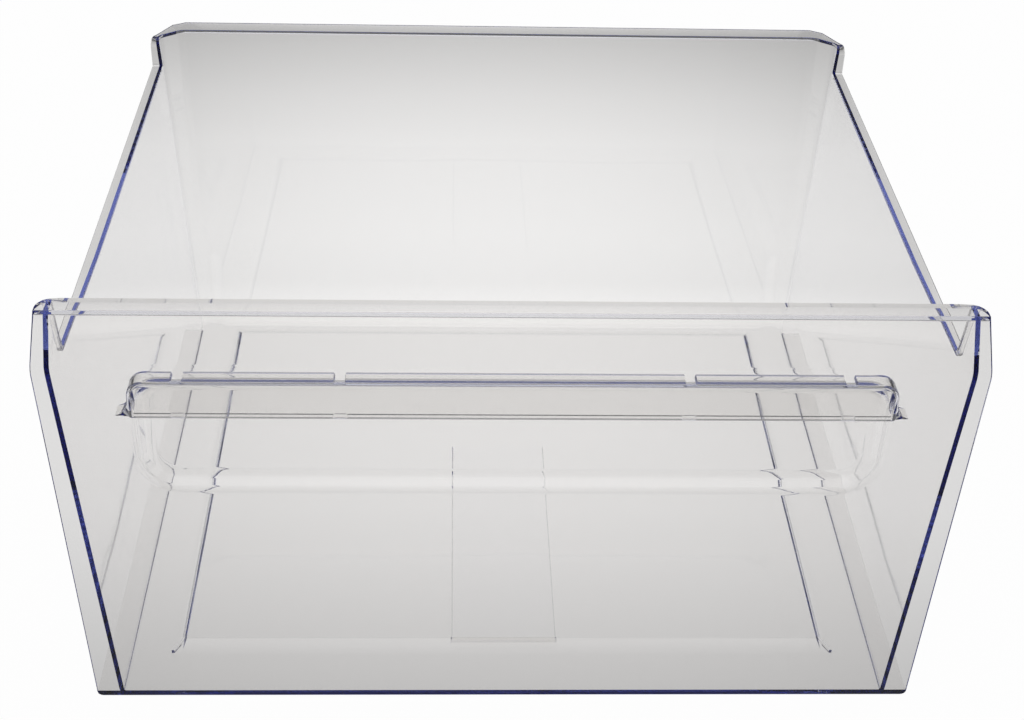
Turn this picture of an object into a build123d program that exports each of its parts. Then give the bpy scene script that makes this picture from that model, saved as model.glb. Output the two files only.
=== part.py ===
from build123d import *
import os

# Clear drawer for a fridge or freezer compartment. Millimetres, +Z up.
# Origin: middle of the bounding box in plan, on the underside. The handle faces -Y, +X is right.

# Overall
WIDTH = 460.0                  # across the front panel at its bend
DEPTH = 395.0                  # front of the handle lip to the back rim
HEIGHT = 245.0                 # underside to the top of the front ledge
WALL = 2.5                     # general wall thickness
PANEL_WALL = 3.0               # thickness of the front panel, measured front to back

# Front panel, seen from the side and from the front
PANEL_TOP_BACK = 22.0          # top edge of the panel behind the lip's front
PANEL_BEND_BACK = 10.0         # the bend, the panel's foremost line
PANEL_FOOT_BACK = 14.0         # bottom edge of the panel
BEND_DROP = 26.5               # bend below the top
PANEL_TOP_NARROWER = 5.0       # total, against the bend
PANEL_FOOT_NARROWER = 15.0     # total, against the bend
TOP_LEDGE_DEPTH = 11.0
TOP_LEDGE_CORNER = 8.0         # plan radius of the ledge's rear corners
PANEL_FOOT_CORNER = 3.0        # radius of the panel's lower corners

# Tub: plan at the underside and how it grows upward
FOOT_FLANGE = 12.0             # panel beyond each side wall, at the underside
SIDE_DRAFT_SHIFT = 12.0        # how far each side wall leans out over the full height
BACK_FOOT_Y_INSET = 21.0       # outside of the back wall at the underside, in front of the back rim
BACK_DRAFT_SHIFT = 11.0        # how far the back wall leans back over the full height
REAR_CHAMFER_X = 9.0           # plan chamfer at the rear corners, underside
REAR_CHAMFER_Y = 12.5
TOP_CHAMFER_GROWTH = 0.45      # the rear chamfer is this much larger at the top
RAIL_DROP = 33.0               # top of the side rails below the top of the front ledge
RIM_DROP = 15.0                # top of the back rim below the top of the front ledge
RAIL_OVERHANG = 4.1            # rail beyond the side wall
RAIL_THICK = 3.0
STOP_BACK_INSET = 28.5         # front face of the rear stops, in front of the back rim
SIDE_END_INSET = 36.0          # joint between side wall and rear corner, in front of the back rim
RIM_CORNER_X = 19.0            # the rim's outline cut back at the corners
RIM_CORNER_Y = 23.0
RIM_SECOND_X = 11.0            # second, flatter cut of the same corner
RIM_SECOND_Y = 4.5

# Front corners, where the side walls flare out to the panel
FLARE_LENGTH = 38.0            # from the lip's front to where the side wall is straight
FLARE_OUT = 2.4                # extra width of each side at the bend
FLARE_TOP_IN = 1.5             # how much of it is lost again at the top
GUSSET_RUN = 8.0               # how far the rising edge leans forward from rail to ledge

# Back wall
CORNER_FLAT = 4.5              # flat strip between the chamfer and the back wall's raised field
CENTRE_FIELD_RAISE = 0.8
STEP_HEIGHT = 68.0             # ledge across the back wall, above the underside
STEP_MARGIN = 1.5              # end of the lower part, inside of the chamfer's start
STEP_IN = 4.0                  # how far the lower part stands inward

# Floor
RUNNER_OVERHANG = 12.0         # bottom runner beyond the side wall
PLATEAU_MARGIN = 25.8          # foot of the raised field's bevel inside of the side wall's outside
PLATEAU_BEVEL = 4.5
PLATEAU_RISE = 4.0
PLATEAU_FRONT = 46.6           # foot of its front bevel behind the lip's front
STRIP_WIDTH = 60.0             # centre strip
STRIP_FRONT = 51.5
STRIP_LENGTH = 184.0
STRIP_THICK = 0.8

# Handle
HANDLE_SIDE_INSET = 46.0       # end of the pull from the panel's edge at the bend
HANDLE_CORNER = 8.0            # radius of the pull's upper corners
LIP_HEIGHT = 20.0
HANDLE_TAIL_OUT = 7.0          # each end flares out by this at its foot
HANDLE_TAIL_HEIGHT = 5.5
SLOT_WIDTH = 6.0
SLOT_END_INSET = 23.5          # outer slots from the ends of the pull
SLOT_STEP = 77.0               # from an outer to an inner slot
SLOT_FRONT_BRIDGE = 1.5
SLOT_REAR_BRIDGE = 0.6
TAB_WIDTH = 5.5
TAB_HEIGHT = 3.0
TAB_THICK = 2.0

# Finger recess behind and below the lip
RECESS_WIDER = 9.0             # beyond each end of the pull
RECESS_FOOT_DROP = 70.0        # bottom of the recess below the bend
RECESS_DEPTH = 9.0             # into the drawer from the front face
RECESS_SIDE_SLOPE = 8.0        # the sides lean in by this over the depth
RECESS_CORNER = 20.0
RECESS_FLARE_DROP = 10.0       # height over which it widens below the pull's ends

# Cutting aids
EPS_OUT = 1.0                  # overshoot of cutting solids
FAR = 600.0                    # larger than the part

# Derived
Y_LIP = -DEPTH / 2
Y_RIM = DEPTH / 2
Y_TOP = Y_LIP + PANEL_TOP_BACK
Y_BEND = Y_LIP + PANEL_BEND_BACK
Y_FOOT = Y_LIP + PANEL_FOOT_BACK
Z_BEND = HEIGHT - BEND_DROP
Z_LEDGE = HEIGHT - WALL
Z_RAIL = HEIGHT - RAIL_DROP
Z_RIM = HEIGHT - RIM_DROP
Y_STRAIGHT = Y_LIP + FLARE_LENGTH
Y_SIDE_END = Y_RIM - SIDE_END_INSET
Y_STOP = Y_RIM - STOP_BACK_INSET
Y_BACK_FOOT = Y_RIM - BACK_FOOT_Y_INSET
TUB_FOOT_HALF = (WIDTH - PANEL_FOOT_NARROWER) / 2 - FOOT_FLANGE
RAIL_HALF = TUB_FOOT_HALF + SIDE_DRAFT_SHIFT * Z_RAIL / HEIGHT + RAIL_OVERHANG
STEP_HALF = TUB_FOOT_HALF - REAR_CHAMFER_X - STEP_MARGIN
FIELD_HALF = TUB_FOOT_HALF - WALL - REAR_CHAMFER_X - CORNER_FLAT
HANDLE_HALF = WIDTH / 2 - HANDLE_SIDE_INSET
HANDLE_FLAT = HANDLE_HALF - HANDLE_CORNER
RECESS_HALF = HANDLE_HALF + RECESS_WIDER
FRONT_SLOPE = (Y_TOP - Y_BEND) / BEND_DROP
SLOT_OUTER = HANDLE_HALF - SLOT_END_INSET
SLOT_CENTRES = [-SLOT_OUTER, SLOT_STEP - SLOT_OUTER, SLOT_OUTER - SLOT_STEP, SLOT_OUTER]


def yz_prism(points, half_width=FAR):
    """A profile in the YZ plane, drawn out both ways along X."""
    wire = Polyline(*[(0, y, z) for y, z in points], close=True)
    return extrude(make_face(wire), amount=half_width, dir=(1, 0, 0), both=True)


def xz_prism(points, y_front, y_back):
    """A profile in the XZ plane, drawn out from y_front to y_back."""
    wire = Polyline(*[(x, y_front, z) for x, z in points], close=True)
    return extrude(make_face(wire), amount=y_back - y_front, dir=(0, 1, 0))


def box_between(low, high):
    size = [b - a for a, b in zip(low, high)]
    middle = [(a + b) / 2 for a, b in zip(low, high)]
    return Pos(*middle) * Box(*size)


def single(shape):
    """The one solid of a result."""
    solids = shape.solids()
    assert len(solids) == 1, len(solids)
    return solids[0]


def mirrored(shape):
    return single(mirror(shape, about=Plane.YZ))


def tub_face(z, inset, extra_in=0.0):
    """Plan of the tub at height z, moved in by inset."""
    share = z / HEIGHT
    half = TUB_FOOT_HALF + SIDE_DRAFT_SHIFT * share
    back = Y_BACK_FOOT + BACK_DRAFT_SHIFT * share
    length = (REAR_CHAMFER_X**2 + REAR_CHAMFER_Y**2) ** 0.5
    # inset of the chamfer keeps the wall even
    cut_x = inset * (1 + (REAR_CHAMFER_X - length) / REAR_CHAMFER_Y)
    cut_y = inset * (1 + (REAR_CHAMFER_Y - length) / REAR_CHAMFER_X)
    grow = 1 + share * TOP_CHAMFER_GROWTH
    corner_x = REAR_CHAMFER_X * grow - cut_x
    corner_y = REAR_CHAMFER_Y * grow - cut_y
    half = half - inset
    back = back - inset
    points = [
        (-half, Y_LIP),
        (half, Y_LIP),
        (half, back - corner_y),
        (half - corner_x, back),
        (corner_x - half, back),
        (-half, back - corner_y),
    ]
    wire = Polyline(*[(x, y - (extra_in if y > 0 else 0), z) for x, y in points], close=True)
    return make_face(wire)


def tub_block(inset, z_low, z_high, extra_in=0.0):
    return loft([tub_face(z_low, inset, extra_in), tub_face(z_high, inset, extra_in)], ruled=True)


def panel_front_y(z):
    if z > Z_BEND:
        return Y_BEND + (z - Z_BEND) * FRONT_SLOPE
    return Y_BEND + (Z_BEND - z) * (Y_FOOT - Y_BEND) / Z_BEND


def ahead_of_panel(offset):
    """Everything in front of the panel's front face moved back by offset."""
    over = HEIGHT + EPS_OUT
    return yz_prism(
        [
            (panel_front_y(0) + offset, -EPS_OUT),
            (panel_front_y(0) + offset, 0),
            (Y_BEND + offset, Z_BEND),
            (panel_front_y(HEIGHT) + offset, HEIGHT),
            (panel_front_y(over) + offset, over),
            (Y_LIP - FAR, over),
            (Y_LIP - FAR, -EPS_OUT),
        ]
    )


def panel_outline(y_front, y_back):
    top = WIDTH / 2 - PANEL_TOP_NARROWER / 2
    foot = WIDTH / 2 - PANEL_FOOT_NARROWER / 2
    bend = WIDTH / 2
    body = xz_prism(
        [(-foot, 0), (foot, 0), (bend, Z_BEND), (top, HEIGHT), (-top, HEIGHT), (-bend, Z_BEND)],
        y_front,
        y_back,
    )
    lower = body.edges().filter_by(Axis.Y).group_by(Axis.Z)[0]
    return fillet(lower, PANEL_FOOT_CORNER)


def recess_face(y, grow, lean):
    """The recess seen from the front: as wide as the pull inside it, then flared and rounded below."""
    pull = HANDLE_HALF - WALL + grow - lean
    flat = HANDLE_FLAT - lean
    half = RECESS_HALF + grow - lean
    top = Z_BEND - WALL + grow
    foot = Z_BEND - RECESS_FOOT_DROP - grow
    flare_high = Z_BEND - LIP_HEIGHT + HANDLE_TAIL_HEIGHT
    flare_low = flare_high - RECESS_FLARE_DROP
    radius = RECESS_CORNER + grow
    pull_radius = pull - flat
    turn = radius * (1 - 0.5**0.5)
    pull_turn = pull_radius * 0.5**0.5

    def side(s):
        return [
            ThreePointArc(
                (s * flat, y, top),
                (s * (flat + pull_turn), y, top - pull_radius + pull_turn),
                (s * pull, y, top - pull_radius),
            ),
            Line((s * pull, y, top - pull_radius), (s * pull, y, flare_high)),
            Line((s * pull, y, flare_high), (s * half, y, flare_low)),
            Line((s * half, y, flare_low), (s * half, y, foot + radius)),
            ThreePointArc(
                (s * half, y, foot + radius),
                (s * (half - turn), y, foot + turn),
                (s * (half - radius), y, foot),
            ),
        ]

    low = Line((half - radius, y, foot), (radius - half, y, foot))
    high = Line((-flat, y, top), (flat, y, top))
    return make_face(Wire([high] + side(1) + [low] + side(-1)))


def recess_bodies():
    """Outer and inner shape of the recess, both reaching ahead of the panel."""
    y_front = Y_BEND - EPS_OUT
    y_inner = Y_BEND + RECESS_DEPTH
    y_outer = y_inner + WALL
    share = (y_outer - y_front) / (y_inner - y_front)
    outer = loft(
        [recess_face(y_front, WALL, 0), recess_face(y_outer, WALL, RECESS_SIDE_SLOPE * share)],
        ruled=True,
    )
    inner = loft(
        [recess_face(y_front, 0, 0), recess_face(y_inner, 0, RECESS_SIDE_SLOPE)], ruled=True
    )
    return outer, inner


def finger_recess():
    outer, inner = recess_bodies()
    return single(outer - inner - ahead_of_panel(0))


def front_panel():
    plate = ahead_of_panel(PANEL_WALL) - ahead_of_panel(0)
    plate = plate & panel_outline(Y_LIP, Y_STRAIGHT)
    below_ledge = box_between((-FAR, Y_LIP, 0), (FAR, Y_STRAIGHT, Z_LEDGE))
    outer, _ = recess_bodies()
    return single((plate & below_ledge) - outer)


def front_top_ledge():
    y_rear = Y_TOP + TOP_LEDGE_DEPTH
    slab = box_between((-WIDTH / 2, Y_LIP, Z_LEDGE), (WIDTH / 2, y_rear, HEIGHT))
    corners = slab.edges().filter_by(Axis.Z).group_by(Axis.Y)[-1]
    slab = fillet(corners, TOP_LEDGE_CORNER)
    return single((slab & panel_outline(Y_LIP, y_rear)) - ahead_of_panel(0))


def handle_outline(inset):
    """The pull seen from the front, moved in by inset and open below."""
    half = HANDLE_HALF - inset
    flat = HANDLE_FLAT
    top = Z_BEND - inset
    radius = half - flat
    foot = Z_BEND - LIP_HEIGHT
    tail = half + HANDLE_TAIL_OUT
    turn = radius * 0.5**0.5
    y = Y_LIP
    low = Line((-tail, y, foot), (tail, y, foot))
    flare_r = Line((tail, y, foot), (half, y, foot + HANDLE_TAIL_HEIGHT))
    up_r = Line((half, y, foot + HANDLE_TAIL_HEIGHT), (half, y, top - radius))
    arc_r = ThreePointArc(
        (half, y, top - radius), (flat + turn, y, top - radius + turn), (flat, y, top)
    )
    across = Line((flat, y, top), (-flat, y, top))
    arc_l = ThreePointArc(
        (-flat, y, top), (-flat - turn, y, top - radius + turn), (-half, y, top - radius)
    )
    up_l = Line((-half, y, top - radius), (-half, y, foot + HANDLE_TAIL_HEIGHT))
    flare_l = Line((-half, y, foot + HANDLE_TAIL_HEIGHT), (-tail, y, foot))
    return make_face(Wire([low, flare_r, up_r, arc_r, across, arc_l, up_l, flare_l]))


def handle_ledge():
    half = HANDLE_FLAT
    slab = box_between((-half, Y_LIP, Z_BEND - WALL), (half, Y_STRAIGHT, Z_BEND))
    slab = slab & ahead_of_panel(0)
    for x in SLOT_CENTRES:
        slab = slab - box_between(
            (x - SLOT_WIDTH / 2, Y_LIP + SLOT_FRONT_BRIDGE, Z_BEND - WALL),
            (x + SLOT_WIDTH / 2, Y_BEND - SLOT_REAR_BRIDGE, Z_BEND),
        )
    return single(slab)


def handle_lip():
    plate = extrude(handle_outline(0), amount=WALL, dir=(0, 1, 0))
    under_ledge = box_between((-FAR, Y_LIP, 0), (FAR, Y_BEND, Z_BEND - WALL))
    return single(plate & under_ledge)


def handle_right_end():
    reach = Y_STRAIGHT - Y_LIP
    ring = extrude(handle_outline(0), amount=reach, dir=(0, 1, 0))
    ring = ring - extrude(handle_outline(WALL), amount=reach, dir=(0, 1, 0))
    outside = box_between((HANDLE_FLAT, Y_LIP, 0), (FAR, Y_STRAIGHT, HEIGHT))
    end = (ring & outside & ahead_of_panel(0)) - handle_lip()
    return single(end)


def lip_tabs():
    y_low = Y_LIP + WALL
    foot = Z_BEND - LIP_HEIGHT
    tabs = [
        box_between(
            (x - TAB_WIDTH / 2, y_low, foot), (x + TAB_WIDTH / 2, y_low + TAB_THICK, foot + TAB_HEIGHT)
        )
        for x in SLOT_CENTRES
    ]
    return Compound([single(t) for t in tabs])


def tub_shell():
    """Side and back walls as one even shell, without the floor."""
    return tub_block(0, 0, HEIGHT) - tub_block(WALL, 0, HEIGHT) - ahead_of_panel(PANEL_WALL)


def right_side_wall():
    keep = box_between((0, Y_STRAIGHT, WALL), (FAR, Y_SIDE_END, Z_RAIL))
    return single(tub_shell() & keep)


def right_rear_corner():
    shell = tub_shell()
    high_keep = box_between((FIELD_HALF, Y_SIDE_END, STEP_HEIGHT), (FAR, Y_RIM, Z_RIM))
    low_keep = box_between((STEP_HALF, Y_SIDE_END, WALL), (FAR, Y_RIM, STEP_HEIGHT))
    notch = box_between((0, Y_SIDE_END, Z_RAIL), (FAR, Y_STOP, HEIGHT))
    return single((shell & (high_keep + low_keep)) - notch)


def flared_wall():
    """The right side wall between its straight end and the panel, flaring out to the front."""

    def section(y, flare, top_flare):
        outer_foot = TUB_FOOT_HALF
        outer_bend = TUB_FOOT_HALF + SIDE_DRAFT_SHIFT * Z_BEND / HEIGHT + flare
        outer_top = TUB_FOOT_HALF + SIDE_DRAFT_SHIFT + top_flare
        points = [
            (outer_foot, 0),
            (outer_bend, Z_BEND),
            (outer_top, HEIGHT),
            (outer_top - WALL, HEIGHT),
            (outer_bend - WALL, Z_BEND),
            (outer_foot - WALL, 0),
        ]
        return make_face(Polyline(*[(x, y, z) for x, z in points], close=True))

    return loft([section(Y_LIP, FLARE_OUT, FLARE_OUT - FLARE_TOP_IN), section(Y_STRAIGHT, 0, 0)], ruled=True)


def right_front_corner():
    profile = yz_prism(
        [
            (Y_LIP, WALL),
            (Y_STRAIGHT, WALL),
            (Y_STRAIGHT, Z_RAIL),
            (Y_STRAIGHT - GUSSET_RUN, Z_LEDGE),
            (Y_LIP, Z_LEDGE),
        ]
    )
    return single((flared_wall() & profile) - ahead_of_panel(PANEL_WALL))


def outside_of_walls(block):
    """What is left of block outside the tub and the flared corner, on the right."""
    return block - tub_block(0, 0, HEIGHT) - right_front_corner()


def right_front_gusset():
    profile = yz_prism(
        [
            (Y_STRAIGHT, Z_RAIL - RAIL_THICK),
            (Y_STRAIGHT, Z_RAIL),
            (Y_STRAIGHT - GUSSET_RUN, Z_LEDGE),
            (Y_STRAIGHT - GUSSET_RUN - RAIL_THICK, Z_LEDGE),
            (Y_STRAIGHT - RAIL_THICK, Z_RAIL - RAIL_THICK),
        ]
    )
    band = box_between((TUB_FOOT_HALF, Y_LIP, 0), (RAIL_HALF, Y_STRAIGHT, HEIGHT))
    inside = flared_wall() + loft([tub_face(0, WALL / 2), tub_face(HEIGHT, WALL / 2)], ruled=True)
    return single((band & profile) - inside)


def right_top_rail():
    band = box_between((TUB_FOOT_HALF, Y_STRAIGHT, Z_RAIL - RAIL_THICK), (RAIL_HALF, Y_STOP, Z_RAIL))
    return single(band - tub_block(0, 0, HEIGHT))


def rim_outline(z_low, z_high):
    """The rim's outer plan, with two flat cuts at each rear corner."""
    half = RAIL_HALF
    points = [
        (-half, Y_LIP),
        (half, Y_LIP),
        (half, Y_RIM - RIM_CORNER_Y - RIM_SECOND_Y),
        (half - RIM_SECOND_X, Y_RIM - RIM_SECOND_Y),
        (half - RIM_CORNER_X, Y_RIM),
        (RIM_CORNER_X - half, Y_RIM),
        (RIM_SECOND_X - half, Y_RIM - RIM_SECOND_Y),
        (-half, Y_RIM - RIM_CORNER_Y - RIM_SECOND_Y),
    ]
    wire = Polyline(*[(x, y, z_low) for x, y in points], close=True)
    return extrude(make_face(wire), amount=z_high - z_low, dir=(0, 0, 1))


def right_rear_stop():
    post = box_between((TUB_FOOT_HALF, Y_STOP, Z_RAIL - RAIL_THICK), (RAIL_HALF, Y_STOP + WALL, Z_RIM - WALL))
    return single((post & rim_outline(0, HEIGHT)) - tub_block(0, 0, HEIGHT))


def rim_ring():
    return rim_outline(Z_RIM - WALL, Z_RIM) - tub_block(0, 0, HEIGHT)


def right_rear_corner_rim():
    keep = box_between((FIELD_HALF, Y_STOP, 0), (FAR, Y_RIM, HEIGHT))
    return single(rim_ring() & keep)


def back_rim():
    half = FIELD_HALF
    keep = box_between((-half, Y_STOP, 0), (half, Y_RIM, HEIGHT))
    return single(rim_ring() & keep)


def back_wall():
    shell = tub_block(0, 0, HEIGHT) - tub_block(WALL, 0, HEIGHT, CENTRE_FIELD_RAISE)
    half = FIELD_HALF
    keep = box_between((-half, Y_SIDE_END, STEP_HEIGHT), (half, Y_RIM, Z_RIM))
    return single(shell & keep)


def back_lower_panel():
    """The lower part of the back wall, standing inward, with its ledge and end cheeks."""
    half = STEP_HALF
    outer = tub_block(0, 0, HEIGHT) & box_between((-half, 0, WALL), (half, Y_RIM, STEP_HEIGHT))
    front_cut = tub_block(WALL, 0, HEIGHT, STEP_IN)
    rear_cut = outer - tub_block(0, 0, HEIGHT, STEP_IN)
    pocket = box_between((WALL - half, 0, 0), (half - WALL, Y_RIM, STEP_HEIGHT - WALL))
    return single((outer - front_cut) - (rear_cut & pocket))


def floor_panel():
    slab = tub_block(0, 0, WALL) - ahead_of_panel(PANEL_WALL)
    y_front = Y_LIP + PLATEAU_FRONT
    y_rear = Y_BACK_FOOT - WALL - STEP_IN
    half = TUB_FOOT_HALF - PLATEAU_MARGIN
    rise = PLATEAU_RISE

    def field(z, inset):
        points = [
            (-half + inset, y_front + inset),
            (half - inset, y_front + inset),
            (half - inset, y_rear),
            (-half + inset, y_rear),
        ]
        return make_face(Polyline(*[(x, y, z) for x, y in points], close=True))

    raised = loft([field(WALL, 0), field(WALL + rise, PLATEAU_BEVEL)], ruled=True)
    hollow = loft([field(0, WALL / 2), field(rise, PLATEAU_BEVEL + WALL / 2)], ruled=True)
    rear_margin = box_between((-FAR, y_rear - WALL, -EPS_OUT), (FAR, Y_RIM, HEIGHT))
    return single(slab + raised - (hollow - rear_margin))


def floor_centre_strip():
    top = WALL + PLATEAU_RISE
    y_front = Y_LIP + STRIP_FRONT
    half = STRIP_WIDTH / 2
    return single(box_between((-half, y_front, top), (half, y_front + STRIP_LENGTH, top + STRIP_THICK)))


def right_bottom_runner():
    band = box_between((0, Y_LIP, 0), (TUB_FOOT_HALF + RUNNER_OVERHANG, Y_BACK_FOOT - REAR_CHAMFER_Y, WALL))
    return single(band - tub_block(0, 0, HEIGHT) - ahead_of_panel(PANEL_WALL))


def all_nodes():
    nodes = {
        "front_panel": front_panel(),
        "finger_recess": finger_recess(),
        "front_top_ledge": front_top_ledge(),
        "handle_ledge": handle_ledge(),
        "handle_lip": handle_lip(),
        "lip_tabs": lip_tabs(),
        "back_wall": back_wall(),
        "back_lower_panel": back_lower_panel(),
        "back_rim": back_rim(),
        "floor_panel": floor_panel(),
        "floor_centre_strip": floor_centre_strip(),
    }
    right_hand = {
        "handle_{}_end": handle_right_end(),
        "{}_side_wall": right_side_wall(),
        "{}_front_corner": right_front_corner(),
        "{}_front_gusset": right_front_gusset(),
        "{}_rear_corner": right_rear_corner(),
        "{}_rear_corner_rim": right_rear_corner_rim(),
        "{}_rear_stop": right_rear_stop(),
        "{}_top_rail": right_top_rail(),
        "{}_bottom_runner": right_bottom_runner(),
    }
    for name, shape in right_hand.items():
        nodes[name.format("right")] = shape
        nodes[name.format("left")] = mirrored(shape)
    return nodes


os.makedirs("parts", exist_ok=True)
for node, shape in all_nodes().items():
    export_step(shape, f"parts/{node}.step")
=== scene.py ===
"""Clear fridge drawer: one clear moulding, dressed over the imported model."""

import math

import bmesh
import bpy
from mathutils import Matrix, Vector


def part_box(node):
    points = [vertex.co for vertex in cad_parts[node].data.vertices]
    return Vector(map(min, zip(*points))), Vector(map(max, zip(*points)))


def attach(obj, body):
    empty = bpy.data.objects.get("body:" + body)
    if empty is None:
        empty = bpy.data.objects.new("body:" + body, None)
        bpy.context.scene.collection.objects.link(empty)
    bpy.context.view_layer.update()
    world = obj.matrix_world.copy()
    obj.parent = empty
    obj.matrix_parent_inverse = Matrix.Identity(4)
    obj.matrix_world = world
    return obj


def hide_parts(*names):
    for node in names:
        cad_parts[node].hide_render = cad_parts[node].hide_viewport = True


bl_info = {
    "name": "Clear fridge drawer",
    "version": (1, 0, 0),
    "blender": (4, 5, 0),
    "location": "View3D > Sidebar > Drawer",
    "description": "Builds a clear fridge drawer, its stage and its camera",
    "category": "Add Mesh",
}

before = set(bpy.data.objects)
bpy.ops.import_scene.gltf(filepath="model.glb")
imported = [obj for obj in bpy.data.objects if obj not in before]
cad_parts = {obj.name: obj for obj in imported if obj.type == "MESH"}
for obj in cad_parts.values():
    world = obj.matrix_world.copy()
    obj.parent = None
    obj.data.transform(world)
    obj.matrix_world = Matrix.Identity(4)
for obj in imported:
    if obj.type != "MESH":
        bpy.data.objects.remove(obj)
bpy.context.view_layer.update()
NODES = sorted(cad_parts)
MM = 0.001


def node_box(name):
    low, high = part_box(name)
    return Vector(low), Vector(high)


PANEL_LOW, PANEL_HIGH = node_box("front_panel")
_, LEDGE_HIGH = node_box("front_top_ledge")
LIP_LOW, LIP_HIGH = node_box("handle_lip")
_, PULL_HIGH = node_box("handle_ledge")
POCKET_LOW, _ = node_box("finger_recess")
WALL_LOW, _ = node_box("right_side_wall")
_, RAIL_HIGH = node_box("right_top_rail")
_, STOP_HIGH = node_box("right_rear_stop")
_, RIM_HIGH = node_box("back_rim")
_, STEP_HIGH = node_box("back_lower_panel")
STRIP_LOW, STRIP_HIGH = node_box("floor_centre_strip")
_, RUNNER_HIGH = node_box("right_bottom_runner")


def length(name, text, default, **more):
    return bpy.props.FloatProperty(
        name=name, description=text, default=default, min=0.0, unit="LENGTH", precision=5, **more
    )


class DrawerSizes(bpy.types.PropertyGroup):
    wall: length("Wall", "Thickness of the walls and the floor", 2.5 * MM)
    panel: length("Front panel", "Thickness of the front panel", 3.0 * MM)
    foot_half: length("Foot half width", "Side wall's outside at the underside", 210.5 * MM)
    side_lean: length("Side lean", "How far a side wall leans out over the height", 12.0 * MM)
    back_foot: length("Back foot", "Back wall's outside at the underside, behind the middle", 176.5 * MM)
    back_lean: length("Back lean", "How far the back wall leans back over the height", 11.0 * MM)
    chamfer_x: length("Chamfer across", "Rear corner cut at the foot, across", 6.0 * MM)
    chamfer_y: length("Chamfer along", "Rear corner cut at the foot, along", 4.4 * MM)
    chamfer_growth: bpy.props.FloatProperty(
        name="Chamfer growth", description="How much larger the rear corner cut is at the top", default=1.4
    )
    corner_round: length("Corner round", "Outer radius where the walls and the floor meet", 3.4 * MM)
    bend_round: length("Bend round", "Softness of the bend across the front panel", 3.4 * MM)
    edge_round: length("Edge round", "Radius of the moulding's edges", 0.45 * MM)
    draft: length("Draft", "How much thinner the front panel is at its upper edge", 0.7 * MM)
    fold_round: length("Fold round", "Radius of the front's upper edge", 0.2 * MM)
    rear_cut: length("Rear cut", "How far the ledge's rear edge is cut back underneath", 2.0 * MM)
    pull_corner: length("Pull corner", "Radius of the pull's upper corners", 8.0 * MM)
    pocket_corner: length("Pocket corner", "Radius of the finger pocket's lower corners", 20.0 * MM)
    pocket_head: length("Pocket head", "Radius of the finger pocket's upper corners", 16.0 * MM)
    pocket_depth: length("Pocket depth", "Depth of the finger pocket", 7.5 * MM)
    pocket_slope: length("Pocket slope", "Width of the pocket's sloping border", 5.0 * MM)
    pocket_round: length("Pocket round", "Softness of the pocket's rim and back", 2.6 * MM)
    pull_wall: length("Pull wall", "Thickness of the pull", 1.7 * MM)
    pull_round: length("Pull round", "Radius between the pull's ledge and its lip", 2.1 * MM)
    ledge_corner: length("Ledge corner", "Radius of the top ledge's rear corners", 8.0 * MM)
    foot_corner: length("Foot corner", "Radius of the front panel's lower corners", 3.0 * MM)
    slot_width: length("Slot width", "Width of the slots in the pull, at the top", 5.8 * MM)
    slot_outer: length("Outer slots", "Outer slots from the middle", 160.5 * MM)
    slot_inner: length("Inner slots", "Inner slots from the middle", 83.5 * MM)
    plateau_margin: length("Floor field margin", "Raised floor field inside of the side walls", 23.0 * MM)
    plateau_bevel: length("Floor field ramp", "Width of the low ramp around the raised field", 5.6 * MM)
    plateau_foot: length("Floor field ramp rise", "Height of that ramp", 0.7 * MM)
    plateau_edge: length("Floor field edge", "Width of the steep edge over the ramp", 1.4 * MM)
    plateau_rise: length("Floor field rise", "Height of the raised floor field", 2.8 * MM)
    plateau_front: length("Floor field front", "Front of the raised field behind the lip", 43.0 * MM)
    front_ramp: length("Front ramp", "How much longer the steep edge is at the front", 5.5 * MM)
    rear_ramp: length("Rear ramp", "How much longer the steep edge is at the back", 3.5 * MM)
    step_in: length("Step", "How far the foot of the back wall stands inward", 3.0 * MM)
    step_half: length("Step half width", "Half width of the stepped foot", 195.5 * MM)
    step_bevel: length("Step bevel", "Height of the small ledge over the stepped foot", 4.5 * MM)
    gusset_run: length(
        "Gusset run", "How far forward the wall climbs from the rail to the front ledge", 8.0 * MM
    )
    stop_round: length("Stop round", "Softness of the folds at the rear stops", 3.0 * MM)
    flare: length("Flare", "How far each side wall flares out to the front panel", 2.4 * MM)


class DrawerColours(bpy.types.PropertyGroup):
    clear: bpy.props.FloatVectorProperty(
        name="Clear plastic", description="Tint of one surface", subtype="COLOR", size=4, min=0, max=1,
        default=(0.972, 0.962, 0.944, 1.0),
    )
    depth_colour: bpy.props.FloatVectorProperty(
        name="Depth colour", description="What is left of light after a long way inside", subtype="COLOR",
        size=4, min=0, max=1, default=(0.04, 0.14, 0.7, 1.0),
    )
    depth_density: bpy.props.FloatProperty(
        name="Depth density", description="How soon that colour shows, per metre", default=7.5
    )
    floor: bpy.props.FloatVectorProperty(
        name="Floor", description="Colour of the studio floor", subtype="COLOR", size=4, min=0, max=1,
        default=(0.93, 0.93, 0.93, 1.0),
    )


# ---- modelling helpers -------------------------------------------------


def clear_selection():
    if bpy.context.object and bpy.context.object.mode != "OBJECT":
        bpy.ops.object.mode_set(mode="OBJECT")
    bpy.ops.object.select_all(action="DESELECT")


def make_active(obj):
    clear_selection()
    obj.select_set(True)
    bpy.context.view_layer.objects.active = obj


def new_block(name, low, high):
    """A box between two corners, with its place in its mesh."""
    clear_selection()
    low, high = Vector(low), Vector(high)
    bpy.ops.mesh.primitive_cube_add(size=1.0, location=(low + high) / 2)
    block = bpy.context.object
    block.name = block.data.name = name
    block.scale = high - low
    bpy.ops.object.transform_apply(location=True, rotation=True, scale=True)
    return block


def edit(obj):
    make_active(obj)
    bpy.ops.object.mode_set(mode="EDIT")


def leave():
    bpy.ops.object.mode_set(mode="OBJECT")


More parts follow.
